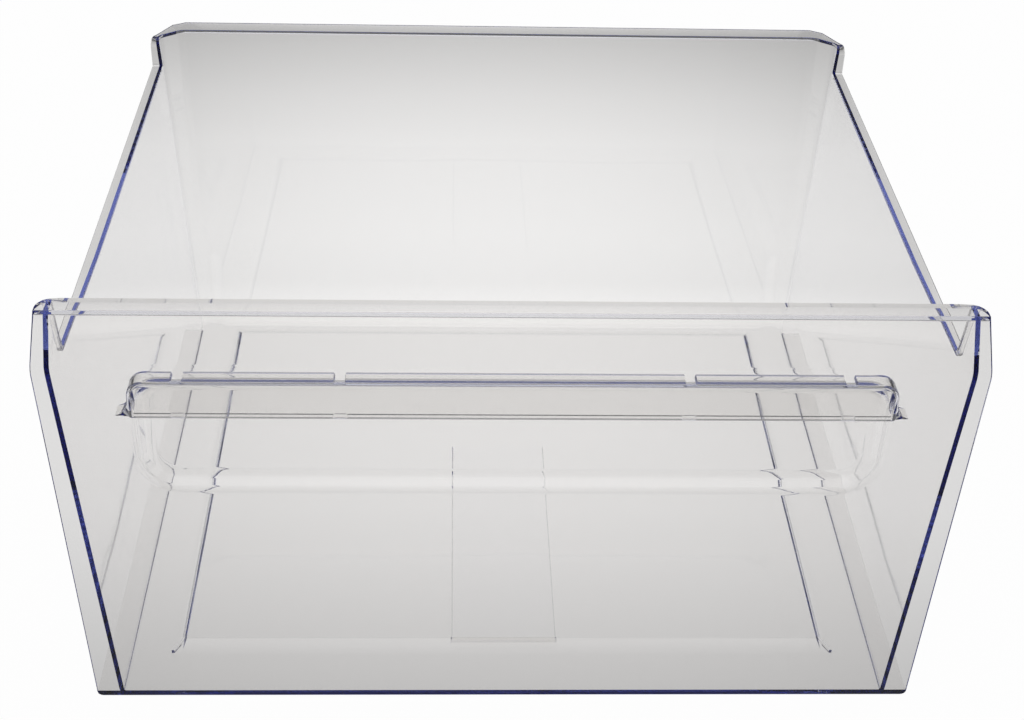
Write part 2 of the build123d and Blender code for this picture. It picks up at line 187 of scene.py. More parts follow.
def pick(obj, faces=None, edges=None, verts=None):
    """Selects, in edit mode, what a test on centres (and normals) accepts."""
    mesh = bmesh.from_edit_mesh(obj.data)
    bpy.ops.mesh.select_all(action="DESELECT")
    kind = "FACE" if faces else "EDGE" if edges else "VERT"
    bpy.ops.mesh.select_mode(type=kind)
    count = 0
    if faces:
        mesh.normal_update()
        for f in mesh.faces:
            if faces(f.calc_center_median(), f.normal):
                f.select_set(True)
                count += 1
    elif edges:
        for e in mesh.edges:
            a, b = e.verts[0].co, e.verts[1].co
            if edges(a, b, e):
                e.select_set(True)
                count += 1
    else:
        for v in mesh.verts:
            if verts(v.co):
                v.select_set(True)
                count += 1
    mesh.select_flush_mode()
    bmesh.update_edit_mesh(obj.data)
    return count


def cut_off(point, normal, fill=True, keep_both=False):
    """Bisects what is selected, and drops what lies along the normal unless both are kept."""
    bpy.ops.mesh.bisect(
        plane_co=point,
        plane_no=Vector(normal).normalized(),
        use_fill=fill and not keep_both,
        clear_outer=not keep_both,
        threshold=NEAR,
    )


def trim(point, normal, fill=True):
    """Drops all of the mesh that lies along the normal."""
    bpy.ops.mesh.select_all(action="SELECT")
    cut_off(point, normal, fill)


def score(point, normal):
    """Adds edges across the whole mesh, and drops nothing."""
    bpy.ops.mesh.select_all(action="SELECT")
    cut_off(point, normal, keep_both=True)


def round_off(offset, segments=3, **more):
    bpy.ops.mesh.bevel(offset=offset, segments=segments, profile=0.5, **more)


def finish_with(obj, kind, **settings):
    make_active(obj)
    modifier = obj.modifiers.new(kind.lower(), kind)
    for key, value in settings.items():
        setattr(modifier, key, value)
    bpy.ops.object.modifier_apply(modifier=modifier.name)


def thicken(obj, wall):
    """Gives a sheet its wall, on its inner side."""
    finish_with(
        obj, "SOLIDIFY", thickness=wall, offset=-1.0, use_even_offset=True, use_quality_normals=True
    )


def soften(obj, where=lambda a, b: True, least=60):
    """Takes the sharpness off a piece's edges, as its mould does."""
    edit(obj)
    pick(
        obj,
        edges=lambda a, b, e: len(e.link_faces) == 2
        and e.calc_face_angle(0) > math.radians(least)
        and where(a, b),
    )
    round_off(sizes().edge_round, 2, clamp_overlap=False)
    leave()


def weld(body, tool, operation="UNION"):
    """Joins a closed body to another, or cuts it away, and removes the tool."""
    finish_with(body, "BOOLEAN", object=tool, operation=operation, solver="MANIFOLD")
    bpy.data.objects.remove(tool, do_unlink=True)


def turn_out(obj, outward):
    """Makes a sheet's faces agree, with the largest one looking the given way."""
    bpy.ops.mesh.select_all(action="SELECT")
    bpy.ops.mesh.normals_make_consistent(inside=False)
    mesh = bmesh.from_edit_mesh(obj.data)
    largest = max(mesh.faces, key=lambda f: f.calc_area())
    if largest.normal.dot(Vector(outward)) < 0:
        bpy.ops.mesh.flip_normals()


def plane_of(a, b, c):
    a, b, c = Vector(a), Vector(b), Vector(c)
    return a, (b - a).cross(c - a).normalized()


def sizes():
    return bpy.context.scene.drawer_sizes


def colours():
    return bpy.context.scene.drawer_colours


def moulding():
    return bpy.data.objects["drawer_moulding"]


# ---- shared places -----------------------------------------------------

TOP = LEDGE_HIGH.z
BEND = PULL_HIGH.z
Y_LIP = LIP_LOW.y
Y_BEND = PANEL_LOW.y
Y_FOOT = Y_LIP + 14.0 * MM
Y_TOP = LEDGE_HIGH.y - 11.0 * MM
Y_STRAIGHT = WALL_LOW.y
Y_STOP = STOP_HIGH.y
Y_FLARE = Y_STRAIGHT + 90.0 * MM
Z_RAIL = RAIL_HIGH.z
Z_RIM = RIM_HIGH.z
FOOT_X = PANEL_HIGH.x - 7.5 * MM
TOP_X = PANEL_HIGH.x - 2.5 * MM
BEND_X = PANEL_HIGH.x

# tests of place and of normal
NEAR = 1e-5
EXACT = 1e-6
SIDEWAYS = 0.2  # metres from the middle: beyond it lie the side walls and the front's ends
ALONG = 0.9  # a face that looks along an axis has more than this of it in its normal
PARTLY = 0.3  # and one that looks partly along it has more than this
HIGH_UP = 0.2  # metres over the floor: the flanges lie above it, the back wall's foot below
LONG = 0.2  # metres: an edge that runs across the front is longer
NEARBY = 5 * MM

# the tub's blank, and what is cut from it
BLANK_HALF = 0.26
BLANK_REAR = 0.22
TUB_UNDER_LEDGE = 1.2 * MM
FIELD_REAR = 9.5 * MM
CORNER_CUTS = ((11 * MM, 4.5 * MM), (19 * MM, 0))
FLARE_HEIGHTS = ((BEND - MM, BEND + MM, 1.0), (BEND + MM, 1.0, 0.2))  # from, to, share of the flare
FLANGE_SPREAD = 1.12
FLANGE_BACK = 30 * MM

# the front
SHEET_BLOCK = 0.02
BEND_MARGIN = 1.4 * MM
RIM_SPARE = 0.2 * MM
RIM_ANGLE = 0.3  # radians
LEDGE_FRONT = 7 * MM
LEDGE_SPARE = 0.3 * MM
UNDER_NEAR = 0.05 * MM
POCKET_MARGIN = 1.9 * MM
POCKET_END = 5 * MM

# the pull and its small parts
PULL_END = 7 * MM
PULL_ROOT = 1.6 * MM
PULL_TAIL = ((7.0, 0.3), (3.4, 1.3), (1.3, 3.2), (0.0, 6.6))  # mm over the foot, mm outward
LIP_ANGLE = 0.6  # radians
SLOT_FOOT = MM
SLOT_TAPER = 1.1
SLOT_FRONT = 0.4 * MM
SLOT_REAR = 3 * MM
SLOT_DEPTH = 6 * MM
TAB_HALF = 2.75 * MM
TAB_FRONT = 0.7 * MM
TAB_REAR = 0.6 * MM
TAB_LOW, TAB_HIGH = 0.3 * MM, 2.3 * MM
BAR_END = 2.6 * MM
BAR_GAP = 3.3 * MM
BAR_REAR = 0.1 * MM
BAR_LOW, BAR_HIGH = 0.15 * MM, 1.9 * MM

# the runners, the centre strip and the ridges on the field's front mitres
RUNNER_LAP = 6 * MM
RUNNER_FRONT = 1.4 * MM
RUNNER_SKIN = 0.12 * MM
STRIP_SINK = 0.3 * MM
STRIP_RISE = 0.7 * MM
STRIP_TAPER_X, STRIP_TAPER_Y = 2 * MM, 9 * MM
RIDGE_X = 4.7 * MM
RIDGE_Y = 7.7 * MM
RIDGE_HALF = 0.8 * MM
RIDGE_RUN = 5 * MM
RIDGE_SLANT = 2.7 * MM
RIDGE_SINK = 0.4 * MM
RIDGE_RISE = 0.15 * MM
RIDGE_DROP = 0.7 * MM

# painted light and shadow on the studio table along the drawer: a painted shadow as seen through the
# plastic, and a painted reflection as seen in its surface
PAINTED_SHADOW_STOPS = (
    (-0.6, 0.08), (-0.3, 0.3), (-0.2, 0.6), (-0.17, 0.66), (-0.114, 0.79), (-0.07, 0.89),
    (-0.02, 0.97), (0.05, 1.02), (0.176, 1.06), (0.2, 1.0), (0.25, 0.9), (0.32, 0.93),
    (0.38, 0.92), (0.466, 0.91), (0.566, 0.84), (0.653, 0.73), (0.8, 0.55), (1.1, 0.12),
)
PAINTED_REFLECTION_STOPS = ((-1.2, 0.12), (-0.3, 0.2), (0.3, 0.7), (0.6, 0.8))
# how the painted shadow seen through the plastic falls off to both sides, and the least share it keeps
# there
SIDE_FALL = 1.9
SIDE_LEAST = 0.12
WHITE_SHARE = 0.96
WHITE_LEVEL = 1.012  # makes up for what the share leaves to the floor's own shading

# the stage
FLOOR_SIZE = 12.0
FLOOR_GAP = 0.4 * MM
LIGHT_BOUNCES = 192
SKY_STEPS = (0.45, 0.7)
SKY_LEVELS = (0.1, 0.15, 0.42, 1.0)
SKY_BLUE = 1.01
CAMERA_PLACE = (-31.2, -852.1, 681.7)  # mm
CAMERA_TURN = (2.47, 34.19, 1.72)  # degrees: to the right, down, roll
SENSOR = 36.0
IMAGE_WIDTH, IMAGE_HEIGHT = 1024, 720
FOCAL_PIXELS = 1700.0
CENTRE_X, CENTRE_Y = 511.0, 354.2


# ---- materials ---------------------------------------------------------


def clear_plastic():
    """Clear, faintly blue polystyrene: colour by depth, fine mould flow and light handling marks."""
    mat = bpy.data.materials.new("clear_polystyrene")
    mat.use_nodes = True
    tree = mat.node_tree
    nodes, links = tree.nodes, tree.links
    shader = nodes["Principled BSDF"]
    out = nodes["Material Output"]
    shader.inputs["Base Color"].default_value = colours().clear
    shader.inputs["Transmission Weight"].default_value = 1.0
    shader.inputs["IOR"].default_value = 1.57
    place = nodes.new("ShaderNodeTexCoord")
    flow = nodes.new("ShaderNodeTexNoise")
    flow.inputs["Scale"].default_value = 9.0
    flow.inputs["Detail"].default_value = 2.0
    links.new(place.outputs["Object"], flow.inputs["Vector"])
    rub = nodes.new("ShaderNodeTexNoise")
    rub.inputs["Scale"].default_value = 60.0
    rub.inputs["Detail"].default_value = 6.0
    links.new(place.outputs["Object"], rub.inputs["Vector"])
    polish = nodes.new("ShaderNodeMapRange")
    polish.inputs["From Min"].default_value = 0.45
    polish.inputs["From Max"].default_value = 0.8
    polish.inputs["To Min"].default_value = 0.012
    polish.inputs["To Max"].default_value = 0.05
    links.new(rub.outputs["Fac"], polish.inputs["Value"])
    links.new(polish.outputs["Result"], shader.inputs["Roughness"])
    bump = nodes.new("ShaderNodeBump")
    bump.inputs["Strength"].default_value = 0.25
    bump.inputs["Distance"].default_value = 0.0006
    links.new(flow.outputs["Fac"], bump.inputs["Height"])
    links.new(bump.outputs["Normal"], shader.inputs["Normal"])
    depth = nodes.new("ShaderNodeVolumeAbsorption")
    depth.inputs["Color"].default_value = colours().depth_colour
    depth.inputs["Density"].default_value = colours().depth_density
    links.new(depth.outputs["Volume"], out.inputs["Volume"])
    return mat


def studio_floor():
    """White for the camera, and a painted shadow and painted reflection in its emission for what is seen
    through or in the plastic.
    """
    mat = bpy.data.materials.new("studio_floor")
    mat.use_nodes = True
    tree = mat.node_tree
    nodes, links = tree.nodes, tree.links
    shader = nodes["Principled BSDF"]
    out = nodes["Material Output"]
    shader.inputs["Base Color"].default_value = colours().floor
    shader.inputs["Roughness"].default_value = 0.9
    shader.inputs["Specular IOR Level"].default_value = 0.1

    def maths(operation, first, second):
        node = nodes.new("ShaderNodeMath")
        node.operation = operation
        for socket, value in zip(node.inputs, (first, second)):
            if isinstance(value, (int, float)):
                socket.default_value = value
            else:
                links.new(value, socket)
        return node.outputs["Value"]

    def ramp(value, stops):
        low, high = stops[0][0], stops[-1][0]
        spread = nodes.new("ShaderNodeMapRange")
        spread.inputs["From Min"].default_value = low
        spread.inputs["From Max"].default_value = high
        links.new(value, spread.inputs["Value"])
        node = nodes.new("ShaderNodeValToRGB")
        band = node.color_ramp
        for at, level in stops[1:-1]:
            band.elements.new((at - low) / (high - low))
        for element, (at, level) in zip(band.elements, stops):
            element.position = (at - low) / (high - low)
            element.color = (level, level, level, 1.0)
        links.new(spread.outputs["Result"], node.inputs["Fac"])
        return node.outputs["Color"]

    path = nodes.new("ShaderNodeLightPath")
    camera, glossy, through = (
        path.outputs[name] for name in ("Is Camera Ray", "Is Glossy Ray", "Is Transmission Ray")
    )
    place = nodes.new("ShaderNodeTexCoord")
    apart = nodes.new("ShaderNodeSeparateXYZ")
    links.new(place.outputs["Object"], apart.inputs["Vector"])
    # seen through the plastic: a painted shadow of the drawer on the table, brightest behind the middle,
    # falling off to the front, back and sides
    along = ramp(apart.outputs["Y"], PAINTED_SHADOW_STOPS)
    across = maths("MULTIPLY", apart.outputs["X"], apart.outputs["X"])
    across = maths("SUBTRACT", 1.0, maths("MULTIPLY", across, SIDE_FALL))
    painted_shadow_level = maths("MULTIPLY", along, maths("MAXIMUM", across, SIDE_LEAST))
    # seen in the plastic's surface: a painted reflection of a dim table in front
    painted_reflection_level = ramp(apart.outputs["Y"], PAINTED_REFLECTION_STOPS)
    # a ray that a slightly rough surface lets through counts as glossy too
    bounced = maths("MAXIMUM", maths("SUBTRACT", glossy, through), 0.0)
    level = maths("ADD", maths("MULTIPLY", through, painted_shadow_level), maths("MULTIPLY", bounced, painted_reflection_level))
    level = maths("MAXIMUM", level, maths("MULTIPLY", camera, WHITE_LEVEL))
    either = maths("MAXIMUM", camera, maths("MAXIMUM", glossy, through))
    share = maths("MULTIPLY", either, WHITE_SHARE)
    # one emission: plain white for the camera, painted shadow and painted reflection for rays through or
    # off the plastic
    white_and_painted_light = nodes.new("ShaderNodeEmission")
    links.new(level, white_and_painted_light.inputs["Strength"])
    mix = nodes.new("ShaderNodeMixShader")
    links.new(share, mix.inputs["Fac"])
    links.new(shader.outputs["BSDF"], mix.inputs[1])
    links.new(white_and_painted_light.outputs["Emission"], mix.inputs[2])
    links.new(mix.outputs["Shader"], out.inputs["Surface"])
    return mat


# ---- the drawer --------------------------------------------------------


class DRAWER_OT_tub(bpy.types.Operator):
    """Floor, side walls, back wall and chamfered rear corners, with the rim flange along their top"""

    bl_idname = "drawer.tub"
    bl_label = "Tub with rails and rim"

    def execute(self, context):
        s = sizes()
        tub = new_block(
            "drawer_moulding", (-BLANK_HALF, Y_LIP, 0.0), (BLANK_HALF, BLANK_REAR, TOP - TUB_UNDER_LEDGE)
        )
        edit(tub)
        half, lean = s.foot_half, s.side_lean
        for side in (-1, 1):
            trim((side * half, 0, 0), (side * TOP, 0, -lean))
        trim((0, s.back_foot, 0), (0, TOP, -s.back_lean))
        grow = 1 + s.chamfer_growth
        for side in (-1, 1):
            low_side = Vector((side * half, s.back_foot - s.chamfer_y, 0))
            low_back = Vector((side * (half - s.chamfer_x), s.back_foot, 0))
            high_side = Vector(
                (side * (half + lean), s.back_foot + s.back_lean - grow * s.chamfer_y, TOP)
            )
            point, normal = plane_of(low_side, low_back, high_side)
            if normal.y < 0:
                normal = -normal
            trim(point, normal)
        middle = s.panel / 2
        trim((0, Y_BEND + middle, BEND), (0, -(TOP - BEND), Y_TOP - Y_BEND))
        trim((0, Y_BEND + middle, BEND), (0, -BEND, -(Y_FOOT - Y_BEND)))
        bpy.ops.mesh.select_all(action="SELECT")
        bpy.ops.mesh.normals_make_consistent(inside=False)
        # the open top and front
        pick(tub, faces=lambda c, n: n.z > ALONG or n.y < -0.5)
        bpy.ops.mesh.delete(type="FACE")
        # rounded foot of the walls and upright lines of the rear corners
        pick(tub, edges=lambda a, b, e: len(e.link_faces) == 2)
        round_off(s.corner_round, 4)
        self.raise_field(tub)
        self.step_back_foot(tub)
        self.flare_front(tub)
        self.turn_out_rim(tub)
        turn_out(tub, (0, 0, -1))
        leave()
        thicken(tub, s.wall)
        self.soften_rim(tub)
        return {"FINISHED"}

    def raise_field(self, tub):
        """Raises the floor's field on a mitred bevel."""
        s = sizes()
        half = s.foot_half - s.plateau_margin - s.wall / 2
        front = Y_LIP + s.plateau_front + s.wall / 2
        rear = s.back_foot - FIELD_REAR
        for point, normal in (
            ((-half, 0, 0), (1, 0, 0)),
            ((half, 0, 0), (1, 0, 0)),
            ((0, front, 0), (0, 1, 0)),
            ((0, rear, 0), (0, 1, 0)),
        ):
            pick(tub, faces=lambda c, n: abs(c.z) < EXACT and abs(c.x) < half + MM)
            cut_off(point, normal, keep_both=True)
        pick(tub, faces=lambda c, n: abs(c.z) < EXACT and abs(c.x) < half and front < c.y < rear)
        for width, rise in (
            (s.plateau_bevel, s.plateau_foot),
            (s.plateau_edge, s.plateau_rise - s.plateau_foot),
        ):
            bpy.ops.mesh.inset(thickness=width, depth=0)
            bpy.ops.transform.translate(value=(0, 0, rise))
        bevel = s.plateau_bevel + s.plateau_edge
        for y, run in ((front + bevel, s.front_ramp), (rear - bevel, -s.rear_ramp)):
            pick(tub, verts=lambda v: abs(v.z - s.plateau_rise) < EXACT and abs(v.y - y) < NEAR)
            bpy.ops.transform.translate(value=(0, run, 0))

    def step_back_foot(self, tub):
        """Stands the foot of the back wall inward under a small ledge."""
        s = sizes()
        top, end, bevel = STEP_HIGH.z, s.step_half, s.step_bevel
        foot = s.back_foot - s.corner_round - 2 * MM

        def at_foot(c, n):
            return c.y > foot and c.z < HIGH_UP

        for x in (-end, end, bevel - end, end - bevel):
            pick(tub, faces=at_foot)
            cut_off((x, 0, 0), (1, 0, 0), keep_both=True)
        for z in (top, top - bevel):
            pick(tub, faces=lambda c, n: at_foot(c, n) and n.y > ALONG)
            cut_off((0, 0, z), (0, 0, 1), keep_both=True)
        # mitres at the two upper corners
        for side in (-1, 1):
            pick(
                tub,
                verts=lambda v: v.y > foot
                and (
                    (v - Vector((side * end, v.y, top))).length < NEAR
                    or (v - Vector((side * (end - bevel), v.y, top - bevel))).length < NEAR
                ),
            )
            bpy.ops.mesh.vert_connect()
        pick(
            tub,
            verts=lambda v: abs(v.x) < end - bevel + NEAR
            and v.y > s.back_foot - s.corner_round - 0.1 * MM
            and v.z < top - bevel + NEAR,
        )
        bpy.ops.transform.translate(value=(0, -s.step_in, 0))

    def flare_front(self, tub):
        """Draws the side walls a little outward where they run into the front panel."""
        s = sizes()
        for side in (-1, 1):
            pick(tub, faces=lambda c, n: n.x * side > PARTLY)
            cut_off((0, Y_FLARE, 0), (0, 1, 0), keep_both=True)
            pick(tub, faces=lambda c, n: n.x * side > ALONG and c.y < Y_FLARE)
            cut_off((0, 0, BEND), (0, 0, 1), keep_both=True)
            for low, high, share in FLARE_HEIGHTS:
                pick(
                    tub,
                    verts=lambda v: v.x * side > SIDEWAYS and v.y < Y_FLARE - NEARBY and low < v.z <= high,
                )
                bpy.ops.transform.translate(value=(side * share * s.flare, 0, 0))

    def turn_out_rim(self, tub):
        """Steps the walls down to the rails and turns their top edge outward as a flange."""
        s = sizes()
        rail, rim = Z_RAIL - s.wall, Z_RIM - s.wall
        ledge = TOP - s.wall
        run = s.gusset_run

        def beyond_slope(c):
            return (c.y - Y_STRAIGHT) * (ledge - rail) + (c.z - rail) * run

        pick(tub, faces=lambda c, n: abs(n.z) < PARTLY)
        cut_off((0, 0, rail), (0, 0, 1), keep_both=True)
        pick(tub, faces=lambda c, n: abs(n.z) < PARTLY and c.z > rail)
        cut_off((0, 0, rim), (0, 0, 1), keep_both=True)
        pick(tub, faces=lambda c, n: abs(n.z) < PARTLY and c.z > rail)
        cut_off((0, Y_STOP, 0), (0, 1, 0), keep_both=True)
        pick(tub, faces=lambda c, n: abs(n.z) < PARTLY and c.z > rail and c.y < Y_STOP)
        cut_off((0, Y_STRAIGHT, rail), (0, ledge - rail, run), keep_both=True)
        pick(tub, faces=lambda c, n: c.z > rim if c.y > Y_STOP else c.z > rail and beyond_slope(c) > 0)
        bpy.ops.mesh.delete(type="FACE")

        def on_top(a, b, e):
            if len(e.link_faces) != 1 or min(a.z, b.z) < rail - NEAR:
                return False
            return (
                abs(beyond_slope(a)) + abs(beyond_slope(b)) < EXACT
                or abs(a.z - b.z) < NEAR and (abs(a.z - rail) < NEAR or abs(a.z - rim) < NEAR)
                or abs(a.y - Y_STOP) + abs(b.y - Y_STOP) < NEAR
            )

        pick(tub, edges=on_top)
        bpy.ops.mesh.extrude_region_move(TRANSFORM_OT_translate={"value": (0, 0, 0)})
        bpy.ops.transform.resize(value=(FLANGE_SPREAD, 1, 1), center_override=(0, 0, 0))
        mesh = bmesh.from_edit_mesh(tub.data)
        for v in mesh.verts:
            if v.select and (v.co.z < rim - NEAR or v.co.y < Y_STOP + NEAR):
                v.select_set(False)
        mesh.select_flush_mode()
        bmesh.update_edit_mesh(tub.data)
        bpy.ops.transform.translate(value=(0, FLANGE_BACK, 0))
        # trims the flange to the rim's outline, with two flat cuts at each rear corner
        half, y_rim = RAIL_HIGH.x, RIM_HIGH.y
        trim((0, y_rim, 0), (0, 1, 0), fill=False)
        for side in (-1, 1):
            trim((side * half, 0, 0), (side, 0, 0), fill=False)
            for point, normal in self.corner_cuts(side):
                trim(point, normal, fill=False)
        # softened folds at both ends of the stop and at the foot of the gusset
        pick(
            tub,
            edges=lambda a, b, e: len(e.link_faces) == 2
            and abs(a.z - b.z) < NEAR
            and (
                abs(a.y - Y_STOP) + abs(b.y - Y_STOP) < NEAR and min(abs(a.z - rail), abs(a.z - rim)) < NEAR
                or abs(a.y - Y_STRAIGHT) + abs(b.y - Y_STRAIGHT) < NEAR and abs(a.z - rail) < NEAR
            ),
        )
        round_off(s.stop_round, 4)

    def corner_cuts(self, side):
        """The two flat cuts at a rear corner of the rim, as points and normals."""
        half, y_rim = RAIL_HIGH.x, RIM_HIGH.y
        corner = [Vector((side * half, Y_STOP, 0))]
        for across, along in CORNER_CUTS:
            corner.append(Vector((side * (half - across), y_rim - along, 0)))
        for a, b in zip(corner, corner[1:]):
            along = b - a
            yield a, Vector((along.y, -along.x, 0)).normalized() * side

    def soften_rim(self, tub):
        """Rounds the outer edges of the flange."""
        half, y_rim = RAIL_HIGH.x, RIM_HIGH.y
        cuts = [cut for side in (-1, 1) for cut in self.corner_cuts(side)]

        def outer(v):
            return v.z > HIGH_UP and (
                abs(abs(v.x) - half) < NEAR
                or abs(v.y - y_rim) < NEAR
                or any(abs((Vector((v.x, v.y, 0)) - point).dot(normal)) < NEAR for point, normal in cuts)
            )

        def at_fold(a, b):
            return abs((a.y + b.y) / 2 - Y_STOP) < NEARBY

        soften(tub, lambda a, b: outer(a) and outer(b) and not at_fold(a, b))


class DRAWER_OT_front(bpy.types.Operator):
    """Front panel with its soft finger pocket, bent outward near its top, with the flat ledge above"""

    bl_idname = "drawer.front"
    bl_label = "Front panel, finger pocket and top ledge"

    def execute(self, context):
        s = sizes()
        under_bend = BEND - s.bend_round - BEND_MARGIN
        half_there = FOOT_X + (BEND_X - FOOT_X) * under_bend / BEND
        front = new_block(
            "front_sheet", (-half_there, Y_BEND, 0.0), (half_there, Y_BEND + SHEET_BLOCK, under_bend)
        )
        edit(front)
        pick(front, faces=lambda c, n: n.y > -ALONG)
        bpy.ops.mesh.delete(type="FACE")
        for side in (-1, 1):
            pick(front, verts=lambda v: v.z < NEAR and v.x * side > 0)
            bpy.ops.transform.translate(value=(side * (FOOT_X - half_there), 0, 0))
        pick(front, verts=lambda v: v.z < NEAR)
        round_off(s.foot_corner, 4, affect="VERTICES")
        bpy.ops.mesh.select_all(action="SELECT")
        bpy.ops.mesh.delete(type="ONLY_FACE")
        leave()
        pocket = self.pocket_sheet()
        make_active(front)
        pocket.select_set(True)
        bpy.ops.object.join()
        edit(front)
        # the panel between its border and the pocket's surround
        pick(front, edges=lambda a, b, e: len(e.link_faces) < 2)
        bpy.ops.mesh.fill()
        # softened rim and back of the pocket
        rim, back = Y_BEND, Y_BEND + s.pocket_depth
        pick(
            front,
            edges=lambda a, b, e: len(e.link_faces) == 2
            and e.calc_face_angle(0) > RIM_ANGLE
            and min(max(abs(a.y - level), abs(b.y - level)) for level in (rim, back)) < EXACT,
        )
        round_off(s.pocket_round, 5)
        pick(front, edges=lambda a, b, e: min(a.z, b.z) > under_bend - NEAR)
        bpy.ops.mesh.extrude_region_move(TRANSFORM_OT_translate={"value": (0, 0, BEND - under_bend)})
        bpy.ops.transform.resize(value=(BEND_X / half_there, 1, 1), center_override=(0, 0, 0))
        # the slight lean of the panel below its bend
        lean = math.atan2(Y_FOOT - Y_BEND, BEND)
        pick(front, verts=lambda v: v.z < BEND - NEAR)
        bpy.ops.transform.rotate(
            value=lean, orient_axis="X", orient_type="GLOBAL", center_override=(0, Y_BEND, BEND)
        )
        if min(v.co.y for v in bmesh.from_edit_mesh(front.data).verts) < Y_BEND - MM:
            bpy.ops.transform.rotate(
                value=-2 * lean, orient_axis="X", orient_type="GLOBAL", center_override=(0, Y_BEND, BEND)
            )
        # the part above the bend, and the ledge
        pick(front, edges=lambda a, b, e: min(a.z, b.z) > BEND - NEAR)
        bpy.ops.mesh.extrude_region_move(
            TRANSFORM_OT_translate={"value": (0, Y_TOP - Y_BEND, TOP - BEND)}
        )
        bpy.ops.transform.resize(value=(TOP_X / BEND_X, 1, 1), center_override=(0, 0, 0))
        bpy.ops.mesh.extrude_region_move(
            TRANSFORM_OT_translate={"value": (0, LEDGE_HIGH.y - Y_TOP, 0)}
        )
        pick(front, verts=lambda v: v.y > LEDGE_HIGH.y - NEAR and abs(v.x) > SIDEWAYS)
        round_off(s.ledge_corner, 6, affect="VERTICES")
        pick(front, edges=lambda a, b, e: max(abs(a.z - BEND), abs(b.z - BEND)) < NEAR)
        round_off(s.bend_round, 6)
        turn_out(front, (0, -1, 0))
        leave()
        thicken(front, s.panel)
        edit(front)
        # the panel thins a little towards the ledge, as its mould's draft has it
        under = TOP - s.panel
        pick(front, verts=lambda v: abs(v.z - under) < UNDER_NEAR and v.y < Y_TOP + LEDGE_FRONT)
        bpy.ops.transform.translate(value=(0, -s.draft, 0))
        # the ledge's rear edge is cut back underneath
        behind = LEDGE_HIGH.y - s.ledge_corner - LEDGE_SPARE
        pick(front, verts=lambda v: abs(v.z - under) < UNDER_NEAR and v.y > behind)
        bpy.ops.transform.translate(value=(0, -s.rear_cut, 0))
        leave()
        rear = LEDGE_HIGH.y - NEAR

        def fold(a, b):
            on_line = max(abs(a.y - Y_TOP), abs(b.y - Y_TOP)) < NEAR
            return min(a.z, b.z) > TOP - NEAR and on_line and abs(a.x - b.x) > LONG

        def at_rear(a, b):
            return min(a.y, b.y) >= rear - s.rear_cut and abs(a.x - b.x) >= LONG

        soften(front, lambda a, b: not fold(a, b) and not at_rear(a, b))
        edit(front)
        pick(front, edges=lambda a, b, e: fold(a, b))
        round_off(s.fold_round, 2, clamp_overlap=False)
        leave()
        weld(moulding(), front)
        return {"FINISHED"}

    def pocket_sheet(self):
        """The pocket's rounded outline, pushed in on soft slopes."""
        s = sizes()
        rim = s.pocket_round + RIM_SPARE
        foot, head = POCKET_LOW.z - rim, BEND - s.bend_round - POCKET_MARGIN
        wide = LIP_HIGH.x - POCKET_END
        pocket = new_block("pocket_sheet", (-wide, Y_BEND, foot), (wide, Y_BEND + SHEET_BLOCK, head))
        edit(pocket)
        pick(pocket, faces=lambda c, n: n.y > -ALONG)
        bpy.ops.mesh.delete(type="FACE")
        for low, radius in ((True, s.pocket_corner + rim), (False, s.pocket_head)):
            pick(pocket, verts=lambda v: v.z < foot + NEAR if low else v.z > head - NEAR)
            round_off(radius, 8, affect="VERTICES")
        bpy.ops.mesh.select_all(action="SELECT")
        bpy.ops.mesh.select_mode(type="FACE")
        bpy.ops.mesh.inset(thickness=rim, depth=0)
        bpy.ops.mesh.inset(thickness=s.pocket_slope, depth=0)
        bpy.ops.transform.translate(value=(0, s.pocket_depth, 0))
        leave()
        return pocket


